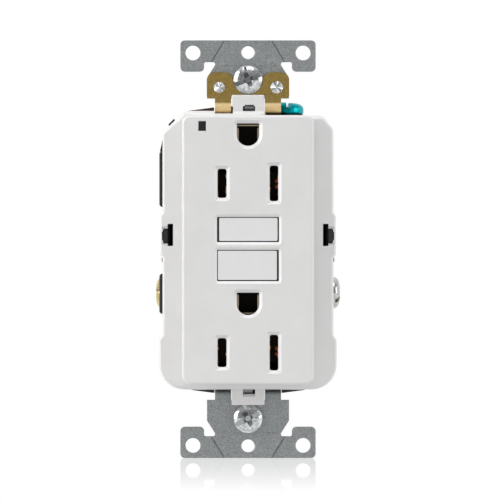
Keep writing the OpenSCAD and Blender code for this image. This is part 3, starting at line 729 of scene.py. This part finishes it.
def button(name, size, x, z, body, node):
    """Push button with a retaining flange behind the face."""
    width, height = size
    cap = slab(name, rectangle(width, height, x, z, 0.3), FACE_Y + 0.27, -4.2, 0.08)
    flange = slab("flange", rectangle(16.6, height + 1.2, 0, z, 0.4), FACE_Y + 1.9, -5, 0.15)
    hollow = slab("hollow", rectangle(width - 2.4, height - 2.4, 0, z, 0.3), -5.4, 0)
    join(cap, flange)
    cut(cap, hollow)
    if node == "test_button":
        stem, across = lathe("stem", [(0, 0), (0.8, 0), (0.8, 9.6), (0.6, 9.9), (0, 9.9)], 24), 3.8
    else:
        stem, across = rod("post", 2.2, 1.6, 24), 0
    join(cap, moved(stem, Matrix.Translation((across, -5.8, z)) @ turned(-90, "X")))
    softened(cap, 0.06)
    adopt(cap, body, "white_button", node)


# ---- strap and ground plate ----

def leg_side(offset, end):
    """Points (y, z) along a bent leg, offset behind the strap's front face."""
    bend, inner = 1.0, 1.0
    outer_r = bend + STRAP_T - offset
    inner_r = inner + offset
    low = BEND_Z - 2 * bend - STRAP_T
    points = [Vector((-STRAP_T + offset, NECK_Z + 0.3))]
    points += [Vector((bend - outer_r * math.cos(a), BEND_Z - outer_r * math.sin(a)))
               for a in (math.pi / 2 * k / 9 for k in range(10))]
    points += [Vector((FRAME_Y - inner + inner_r * math.sin(a), low + inner_r * math.cos(a)))
               for a in (math.pi / 2 * k / 6 for k in range(1, 7))]
    return points + [Vector((FRAME_Y + offset, end))]


def bent_leg(front, back, end, side, top):
    """One leg: a strip that bends backwards and then in behind the cover."""
    outline = leg_side(front, end) + leg_side(back, end)[::-1]
    leg = slice_x("leg", outline, LEG_IN + 0.02, LEG_OUT - 0.02)
    return moved(leg, Matrix.Diagonal((side, 1, top, 1)))


def strap_end(top):
    """Ears, neck and tongue of one end of the strap."""
    outline = rounded(mirrored([
        (EAR_X, EAR_Z, 1.1), (EAR_X, 43.7, 1.1), (10.8, 43.7, 1.1), (10.8, 46.05, 0.45), (7.65, 46.05, 0.55),
        (10.1, 42.2, 0.25), (10.1, NECK_Z, 0), (LEG_OUT, NECK_Z, 0), (LEG_IN, NECK_Z, 0)]))
    end = slab("strap_end", outline, -STRAP_T, 0, front=0.12, back=0.12, steps=2)
    x, z = EAR_HOLE
    holes = [flared(circle(1.825, s * x, z), 0.08, y0=-STRAP_T, y1=3) for s in (1, -1)]
    holes.append(flared(circle(1.6, 0, PLATE_HOLE_Z), 0.22, y0=-STRAP_T, y1=3))
    holes.append(slab("cutter", rounded([(2.85, BOX_Z + 1.95, 1.9), (2.85, BOX_Z - 1.95, 1.9),
                                         (-2.85, BOX_Z - 1.95, 1.9), (-2.85, BOX_Z + 1.95, 1.9)]), -3, 3))
    if top > 0:
        holes += rivet_holes(RIVET_AT, 0.85, -3, 3)
    for s in (1, -1):
        foot, tip = Vector((s * 9.0, 46.1)), Vector((s * 5.8, EAR_Z))
        line, middle = foot - tip, (foot + tip) / 2
        across = Vector((-line.y, line.x)).normalized() * (0.14 if s > 0 and top > 0 else 0.19)
        reach = line / 2 * 1.03
        corners = [middle + reach + across, middle + reach - across, middle - reach - across,
                   middle - reach + across]
        holes.append(slab("cutter", corners, -STRAP_T - 1, -STRAP_T + 0.45))
    holes += both_sides(lambda s: block("cutter", (s * 4.9 - 2.2, -STRAP_T - 1, 45.02),
                                        (s * 4.9 + 2.2, -STRAP_T + 0.1, 45.2)))
    cut(end, *holes)
    side = [(-STRAP_T, 37.6), (-STRAP_T, 35.35), (-2.3, 35.35), (-2.75, 34.95), (-2.75, 34.6), (-1.5, 33.9),
            (0, 33.9), (0, 37.6)]
    left, right = (-0.8, 1.45) if top > 0 else (-1.3, 1.1)
    join(end, slice_x("tongue", [Vector(p) for p in side], left, right))
    return moved(end, Matrix.Diagonal((1, 1, top, 1)))


def mounting_strap():
    """Both ends, the rails that join them behind the cover, and the shelf for the ground screw."""
    strap = strap_end(1)
    strap.name = "strap_sheet"
    join(strap, strap_end(-1))
    back = FRAME_Y + STRAP_T
    rails = slab("rails", rectangle(32, 66, 0, 0, 2), FRAME_Y, back, 0.1, 0.1, 2)
    windows = [slab("cutter", rectangle(26, height, 0, z, 0.6), 0, BEHIND)
               for height, z in ((48.6, 7.2), (11.7, -25.75))]
    cut(rails, *windows, *rivet_holes(LOW_RIVET_AT, 0.65, 0, BEHIND))
    legs = [bent_leg(0.01, STRAP_T - 0.01, 31.5, s, top) for s in (1, -1) for top in (1, -1)]
    shelf = cut(block("shelf", (7.2, FRAME_Y + 0.1, 31.6), (11.8, 11, 32.8)),
                moved(rod("cutter", 1.95, 6), Matrix.Translation((9.5, 8, 29))))
    join(strap, rails, *legs, shelf)
    softened(strap, 0.05, 1)
    adopt(strap, "outlet", "galvanized_steel", "mounting_strap")


def ground_leaves(z, up):
    """Channel that grips the ground pin: two sprung leaves and the web that joins them."""
    tip = [(-5.5, 2.3), (-2.6, 2.28), (-1.0, 2.45), (7.6, 2.45), (7.6, 2.95), (-1.2, 2.95), (-2.8, 2.8),
           (-5.5, 2.82)]
    leaves = []
    for s in (1, -1):
        leaves.append(loft("leaf", [[Vector((s * x, y, z + up * h)) for y, x in tip] for h in (-2.2, 1.65)]))
        leaves.append(block("side", (s * 2.7 - 0.25, -1, z + up * 2.2), (s * 2.7 + 0.25, 7.6, z + up * 3.2)))
    leaves.append(block("web", (-2.95, -1, z + up * 2.6), (2.95, 7.6, z + up * 3.2)))
    lead = [(-5.4, 2.18), (-5.4, 2.42), (-2.4, 2.62), (-0.9, 3.1), (-0.9, 2.7), (-2.2, 2.36)]
    leaves.append(slice_x("lead", [Vector((y, z + up * h)) for y, h in lead], -2.6, 2.6))
    return leaves


def ground_plate():
    """Brass plate with room for the box screw's head, two legs, and the upper ground contact."""
    clear = 3.54
    throat = [Vector((clear * math.cos(a), BOX_Z + clear * math.sin(a)))
              for a in (math.pi * (1.09 + 0.82 * k / 16) for k in range(17))]
    right = rounded([(clear, BOX_Z - 1, 0), (clear, 43.5, 2.3), (10.15, 43.5, 1.9), (10.15, 37.05, 0.8),
                     (LEG_OUT, 37.05, 0), (LEG_OUT, 36.9, 0), (LEG_IN, 36.9, 0), (LEG_IN, 37.9, 0)])
    left = [Vector((-p.x, p.y)) for p in reversed(right)]
    plate = slab("ground_sheet", throat[1:-1] + right + left, -2, -STRAP_T, 0.12, 0, 2)
    cut(plate, *rivet_holes(RIVET_AT, 0.85, -3, 3))
    legs = [bent_leg(-0.8, 0, 31.1, s, 1) for s in (1, -1)]
    bridge = block("bridge", (-LEG_OUT, FRAME_Y - 0.8, 31.1), (LEG_OUT, FRAME_Y, 32.6))
    join(plate, *legs, bridge, *ground_leaves(UPPER_Z + GROUND_RISE, 1))
    softened(plate, 0.05, 1)
    adopt(plate, "outlet", "ground_brass", "ground_plate")


def lower_ground():
    """Ground contact of the lower outlet, riveted to the strap."""
    foot = slab("ground_clip", rectangle(8.8, 3.8, 0, -17.9, 0.5), FRAME_Y - 0.8, FRAME_Y)
    cut(foot, *rivet_holes(LOW_RIVET_AT, 0.65, 0, BEHIND))
    join(foot, *ground_leaves(LOWER_Z + GROUND_RISE, -1))
    softened(foot, 0.05, 1)
    adopt(foot, "outlet", "ground_brass", "lower_ground_contact")


def staked_rivet(x, z, y0, y1, shank, head, turn):
    """Rivet whose front is staked into a cross of four facets."""
    angles = [math.tau * k / 32 + turn for k in range(32)]

    def ring(radius, y, wave=0.0):
        return [Vector((x + radius * math.cos(a), y - wave * math.cos(4 * (a - turn)),
                        z + radius * math.sin(a))) for a in angles]

    return loft("rivet", [ring(0.06, y0 - 0.85), ring(head, y0 - 0.42, 0.3), ring(head, y0), ring(shank, y0),
                          ring(shank, y1), ring(head * 0.9, y1), ring(head * 0.85, y1 + 0.35),
                          ring(head * 0.5, y1 + 0.5)])


def strap_rivets():
    """Two rivets hold the ground plate to the strap, two more the lower ground contact."""
    x, z = RIVET_AT
    rivets = staked_rivet(x, z, -2, 0, 0.8, 1.5, math.radians(38))
    rivets.name = "staked_rivets"
    join(rivets, staked_rivet(-x, z, -2, 0, 0.8, 1.34, math.radians(52)))
    x, z = LOW_RIVET_AT
    front, back = FRAME_Y - 0.8, FRAME_Y + STRAP_T
    join(rivets, *both_sides(lambda s: staked_rivet(s * x, z, front, back, 0.6, 0.95, 0.6)))
    softened(rivets, 0, angle=22)
    adopt(rivets, "outlet", "zinc_screw", "strap_rivets")


# ---- screws ----

def cross_recess(reach, depth, width):
    """Tapered cross-shaped cutter that opens upwards at Z = 0."""
    def cross(scale, z):
        r, w = reach * scale, width * (0.55 + 0.45 * scale) / 2
        arm = [(r, -w), (r, w), (w * 1.5, w * 1.5)]
        ring = []
        for quarter in range(4):
            ring += [Matrix.Rotation(quarter * math.pi / 2, 2) @ Vector(p) for p in arm]
        return [Vector((p.x, p.y, z)) for p in ring]
    return loft("cutter", [cross(1.05, 0.3), cross(0.95, -0.2 * depth), cross(0.35, -depth)])


def screw(name, head_profile, top, slot_width, slot_depth, recess, shank):
    """Screw along Z whose head stands on Z = 0, with a slot along X, a recess and a threaded shank."""
    head = lathe(name, head_profile, 64)
    reach = max(r for r, h in head_profile) + 1
    slot = block("cutter", (-reach, -slot_width / 2, top - slot_depth), (reach, slot_width / 2, top + 1))
    cut(head, slot)
    cut(head, moved(cross_recess(*recess), Matrix.Translation((0, 0, top))))
    join(head, threaded("shank", *shank))
    return head


def box_screw(name, z, turn, nick, node, body):
    """Truss-head machine screw, slotted and cross-recessed, with a nick in its rim."""
    profile = [(0, 2.0), (1.0, 1.98), (1.9, 1.84), (2.6, 1.58), (3.1, 1.3), (3.42, 1.06), (3.58, 0.86),
               (3.52, 0.78), (3.42, 0.7), (3.38, 0), (0, 0)]
    shank = (1.72, 1.36, THREAD, -24 - STRAP_T, 0.2)
    made = screw(name, profile, 2.0, 1.1, 1.05, (1.9, 1.7, 0.85), shank)
    cut(made, moved(block("cutter", (2.27, -0.31, 1.13), (4.2, 0.35, 3)), turned(nick, "Z")))
    moved(made, Matrix.Translation((0, -STRAP_T - 0.05, z)) @ turned(90, "X") @ turned(turn, "Z"))
    softened(made, 0.05, 2, 35)
    adopt(made, body, "zinc_screw", node)


def terminal_screw(pole, end, z, turn):
    """Binding-head terminal screw, whose head looks outwards along X."""
    node = f"{end}_{pole}_screw"
    low, high = box_mm(node)
    seat = (-low.x if pole == "hot" else high.x) - 2.6
    profile = [(0, 3.0), (1.5, 2.95), (2.7, 2.74), (3.45, 2.36), (3.85, 1.8), (3.95, 1.3), (3.95, 0.35),
               (3.85, 0.08), (3.5, 0), (0, 0)]
    made = screw(f"{node}_piece", profile, 3.0, 1.15, 1.3, (2.0, 1.9, 0.9), (1.95, 1.55, THREAD, -5, 0.2))
    moved(made, Matrix.Translation((seat, SCREW_Y, z)) @ turned(90, "Y") @ turned(turn, "Z"))
    if pole == "hot":
        moved(made, Matrix.Diagonal((-1, 1, 1, 1)))
    softened(made, 0.05, 2, 35)
    adopt(made, f"{end}_{pole}_turn", "screw_brass" if pole == "hot" else "silver_screw", node)


def ground_screw():
    """Green binding screw, tilted a little in its hole."""
    x, y = centre("ground_screw", "x"), centre("ground_screw", "y")
    profile = [(0, 2.75), (2.4, 2.7), (3.3, 2.5), (3.95, 2.0), (4.2, 1.35), (4.2, 0.5), (4.1, 0.12), (3.9, 0),
               (0, 0)]
    shank = (1.8, 1.45, THREAD, -7.2, 0.2)
    made = screw("ground_screw_piece", profile, 2.75, 1.2, 1.2, (2.1, 1.6, 0.9), shank)
    moved(made, Matrix.Translation((x, y, 33.6)) @ turned(4, "Y") @ turned(97, "Z"))
    softened(made, 0.06, 2, 35)
    adopt(made, "green_screw", "green_screw", "ground_screw")


# ---- rear housing ----

def housing_pieces():
    """Everything that stands on the housing's shell."""
    pieces = []
    for z, low, high in ((LINE_Z, -16.0, -6.0), (LOAD_Z, 10.4, 24.2)):
        for s, rim in ((1, 21.1), (-1, 21.9)):
            pieces.append(block("bay", (s * 13.8, 4.1, z - 6.1), (s * 21.0, 26.6, z + 6.1)))
            outline = rectangle(3.0, high - low, s * (rim - 1.5), (low + high) / 2, 0.8)
            pieces.append(slab("rim", outline, 2.4, 24.5, 0.3, 0.5, 3))
    pieces += [block("shroud", (6.2, 4.2, 24.3), (12.8, 11.2, 31.6)),
               block("shelf", (3.9, 4.2, 30.3), (15.1, 13.8, 33.4)),
               block("post", (-4.7, 4.3, 31.0), (3.6, 8.0, 35.4)),
               block("post", (-3.6, 4.3, -36.2), (3.6, 8.0, -33.5))]
    for s in (1, -1):
        pieces.append(block("hook", (s * 20.35 - 0.6, -2.4, 1.7), (s * 20.35 + 0.6, 6, 4.8)))
        barb = rounded([(s * 21.08, 4.2, 0.45), (s * 21.08, 2.3, 0.45), (s * 20.5, 1.66, 0.45),
                        (s * 19.7, 1.66, 0.32), (s * 19.7, 4.86, 0.32), (s * 20.5, 4.86, 0.45)])
        pieces.append(slab("barb", barb, -3.6, -1.9, 0.3, 0.2, 3))
        wedge = [(s * 20.5, 28.0), (s * 20.9, 28.0), (s * 21.3 - 0.45, 24.2), (s * 20.5, 24.2)]
        pieces.append(slab("wedge", [Vector(p) for p in wedge], 3, 22))
        foot = [(8.3, -33.9), (8.3, -35.5), (14.0, -34.75), (14.0, -33.9)]
        pieces.append(slab("foot", [Vector((s * x, z)) for x, z in foot], BODY_Y, 8.8))
        for z in (-2.6, 6.8):
            pieces.append(slab("rib", rectangle(0.9, 1.2, s * 20.85, z, 0.3), SKIRT_Y + 0.3, 25))
    lip = [(-14.8, 33.6), (-14.8, 34.15), (-8.4, 35.0), (-8.4, 33.6)]
    pieces.append(slab("lip", [Vector(p) for p in lip], BODY_Y, 8.5))
    pieces.append(moved(block("corner", (-1.0, 2.4, -0.9), (1.0, 12.0, 0.62)),
                        Matrix.Translation((-18.55, 0, 31.05)) @ turned(-45, "Y")))
    return pieces


def housing_cutters():
    """Screw bays, wire holes, release slots, and room for the strap's legs and the ground screw."""
    back = BACK_Y + 1
    cutters = []
    for z in (LINE_Z, LOAD_Z):
        for s in (1, -1):
            cutters.append(slice_x("cutter", rectangle(15.4, 9.8, 12.8, z, 0.7), s * 15.2, s * 25))
            cutters.append(moved(rod("cutter", 2.4, 8, 32),
                                 Matrix.Translation((s * 12, SCREW_Y, z)) @ turned(s * 90, "Y")))
            for dz in (-2.5, 2.5):
                bore, mouth = (circle(radius, s * 17.4, z + dz, 32) for radius in (1.7, 2.6))
                rings = [at(bore, 19), at(bore, BACK_Y - 0.9), at(mouth, BACK_Y + 0.2)]
                cutters.append(loft("cutter", rings))
            cutters.append(slab("cutter", rectangle(1.3, 3.2, s * 13.4, z, 0.3), BACK_Y - 1.2, back))
    for s in (1, -1):
        cutters.append(block("cutter", (s * 13.2, 6.8, LOAD_Z - 2.2), (s * 16.4, 8, LOAD_Z + 2.2)))
        cutters.append(block("cutter", (s * 13.2, 15.7, LINE_Z - 4.1), (s * 16.4, 16.8, LINE_Z - 1.4)))
        for top in (1, -1):
            cutters.append(leg_notch(s, top, -5, 4.2))
            cutters.append(slab("cutter", circle(1.6, s * 11.5, top * 29.5, 32), BACK_Y - 0.35, back))
    for top in (1, -1):
        cutters.append(block("cutter", (-16.2, -5, top * 32.2 - 1.0), (16.2, 4.2, top * 32.2 + 1.0)))
    for corner, opposite in (((4.7, -5, 31.4), (14.3, 13, 40)), ((3.4, -5, 32.75), (22, 14, 40)),
                             ((13.45, 12.3, 33.13), (23, 41, 41)), ((7.2, 0, 25.4), (11.8, 10.6, 40))):
        cutters.append(block("cutter", corner, opposite))
    return cutters + [slab("cutter", rectangle(17, 30, 0, 3.5, 1.2), BACK_Y - 0.4, back),
                      slab("cutter", rectangle(3.2, 15.9, 0, -24, 0.6), BACK_Y - 0.5, back)]


def rear_housing():
    """Hollow black body behind the cover, with a seam round it."""
    half = 20.9
    outline = rounded(mirrored([(15.3, 33.9, 1.2), (20.65, 28.6, 2.2), (half, 27.0, 0), (half, -28.4, 3.4),
                                (15.8, -34.3, 2.4)]))
    body = slab("rear_body", outline, BODY_Y, BACK_Y, 0, 1.2, 4)
    inner = rounded(mirrored([(15.6, 32.6, 1.2), (19.3, 27.0, 1.6), (19.3, -27.0, 2), (14.8, -32.7, 1.6)]))
    cut(body, slab("inside", inner, -5, BACK_Y - SHELL_T))
    join(body, *housing_pieces())
    for cutter in housing_cutters():
        cut(body, cutter)
    seam = slab("cutter", inset(outline, -3), 7.35, 7.6)
    cut(body, cut(seam, slab("core", inset(outline, 0.25), 7, 8)))
    softened(body, 0.12, 2)
    adopt(body, "outlet", "black_thermoplastic", "rear_housing")


# ---- springs ----

def coil_spring(name, node, along, fixed, turns, wire):
    """Compression spring with closed end turns, fitted along one axis of a CAD node's box."""
    low, high = box_mm(node)
    middle = (low + high) / 2
    length = high[along] - low[along]
    radius = (high.x - low.x) / 2 - wire
    steps = 24
    rings = []
    for k in range(steps * turns + 1):
        turn = k / steps
        rise = wire * (1 + 2 * turn)
        if turn > turns - 1:
            rise = length - wire * (1 + 2 * (turns - turn))
        elif turn > 1:
            rise = 3 * wire + (length - 6 * wire) * (turn - 1) / (turns - 2)
        out = Vector((math.cos(math.tau * turn), math.sin(math.tau * turn), 0))
        rings.append([out * (radius + wire * math.cos(b)) + Vector((0, 0, rise + wire * math.sin(b)))
                      for b in (math.tau * j / 10 for j in range(10))])
    foot = middle.copy()
    foot[along] = low[along]
    lean = turned(-90, "X") if along == 1 else Matrix.Identity(4)
    spring = moved(loft(name, rings), Matrix.Translation(foot) @ lean)
    softened(spring, 0, angle=50)
    adopt(spring, "outlet", "plain_steel", node)
    anchor = middle.copy()
    anchor[along] = high[along] if fixed == "high" else low[along]
    direction = Vector((0, 0, 0))
    direction[along] = 1
    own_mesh(spring)


# ---- scene ----

def area_light(name, place, size, power, colour=(1, 1, 1)):
    """Rectangular light, size in metres, turned to the middle of the object."""
    light = bpy.data.lights.new(name, "AREA")
    light.shape = "RECTANGLE"
    light.size, light.size_y = size
    light.energy = power
    light.color = colour
    holder = added(name, light)
    holder.location = place
    holder.rotation_euler = (-Vector(place)).to_track_quat("-Z", "Y").to_euler()


def world():
    """White to the camera; to everything else a white backdrop behind and a soft grey studio in front."""
    made = bpy.data.worlds.new("studio")
    bpy.context.scene.world = made
    made.use_nodes = True
    made.node_tree.nodes.clear()
    graph = Graph(made.node_tree)
    x, y, z = graph.axes(graph.node("TexCoord").outputs["Generated"])
    studio = graph.ramp(z, [(0.0, (0.25, 0.25, 0.255)), (0.55, (0.345, 0.345, 0.348)), (0.85, 0.78)])
    around = graph.mixed(graph.ranged(y, 0.0, 0.3), studio, (1, 1, 1))
    lit = graph.node("Background", {"Color": around})
    seen = graph.node("Background", {"Color": (1, 1, 1, 1)})
    to_camera = graph.node("LightPath").outputs["Is Camera Ray"]
    shown = graph.mixed_shader(to_camera, lit, seen)
    graph.node("OutputWorld", {"Surface": shown.outputs["Shader"]})


def floor():
    """Pale floor under the strap's lower edge; it mirrors faintly, less far out and less from above."""
    reach, mirror_reach, mirror_share, lit_level = 3.0, 0.165, 0.385, 0.74
    level = STRAP_LOW.z * MM
    mesh = bpy.data.meshes.new("floor")
    corners = [(-reach, -reach, level), (reach, -reach, level), (reach, reach, level), (-reach, reach, level)]
    mesh.from_pydata(corners, [], [(0, 1, 2, 3)])
    look = bpy.data.materials.new("floor")
    look.use_nodes = True
    look.node_tree.nodes.clear()
    graph = Graph(look.node_tree)
    far = graph.length(graph.node("TexCoord").outputs["Object"])
    fade = graph.ranged(far, -level, mirror_reach, mirror_share, 0.0)
    grazing = graph.math("POWER", graph.node("LayerWeight").outputs["Facing"], 2.0)
    gloss = graph.node("BsdfGlossy", {"Color": (1, 1, 1, 1), "Roughness": 0.03})
    seen = graph.mixed_shader(graph.math("MULTIPLY", fade, grazing), graph.node("Emission"), gloss)
    dim = graph.node("Emission", {"Strength": lit_level})
    by_light = graph.node("LightPath").outputs["Is Diffuse Ray"]
    shown = graph.mixed_shader(by_light, seen, dim)
    graph.node("OutputMaterial", {"Surface": shown.outputs["Shader"]})
    mesh.materials.append(look)
    added("floor", mesh)


def camera():
    """Straight in front of the face, with a long lens."""
    right, distance, down = 0.49 * MM, 1.129, 0.2 * MM
    data = bpy.data.cameras.new("camera")
    data.lens = 330
    data.sensor_width = 36
    holder = added("camera", data)
    holder.location = (right, -distance, -down)
    holder.rotation_euler = (math.pi / 2, 0, 0)
    bpy.context.scene.camera = holder


# ---- build ----

for node, obj in NODES.items():
    for place in obj.material_slots:
        place.link = "OBJECT"
        place.material = LOOKS[SLOT_OF[node]]

front_cover()
button("test_cap", TEST_CAP, 0.085, TEST_Z + 0.03, "test_push", "test_button")
button("reset_cap", RESET_CAP, -0.14, RESET_Z + 0.04, "reset_push", "reset_button")
mounting_strap()
ground_plate()
lower_ground()
strap_rivets()
box_screw("upper_box_screw", BOX_Z, 22, 81, "box_screw_top", "top_box_screw")
box_screw("lower_box_screw", -BOX_Z, 25, 78, "box_screw_bottom", "bottom_box_screw")
for pole, turn in (("hot", 75), ("neutral", 122)):
    terminal_screw(pole, "line", LINE_Z, turn)
    terminal_screw(pole, "load", LOAD_Z, turn + 35)
ground_screw()
rear_housing()
coil_spring("reset_coil", "reset_spring", 1, "high", 7, 0.25)
coil_spring("plunger_coil", "plunger_spring", 2, "low", 5, 0.2)
for name in ("light_pipe", "status_led", "middle_housing", "line_hot_clamp", "line_neutral_clamp",
             "load_hot_clamp", "load_neutral_clamp", "line_hot_terminal", "line_neutral_terminal",
             "hot_contact_strip", "neutral_contact_strip", "screw_retainers", "contact_carrier",
             "latch_plate", "circuit_board", "solenoid_frame", "controller_chip"):
    softened_node(name, 0.08)

world()
floor()
camera()
area_light("left_box", (-1.2, -0.44, 0.35), (0.8, 1.2), 12.6, (1.0, 0.994, 0.986))
area_light("right_box", (1.2, -0.44, 0.1), (0.8, 1.2), 7.0)
area_light("top_box", (0, -0.55, 1.15), (1.0, 0.5), 4.4)
bpy.context.scene.view_settings.view_transform = "Standard"
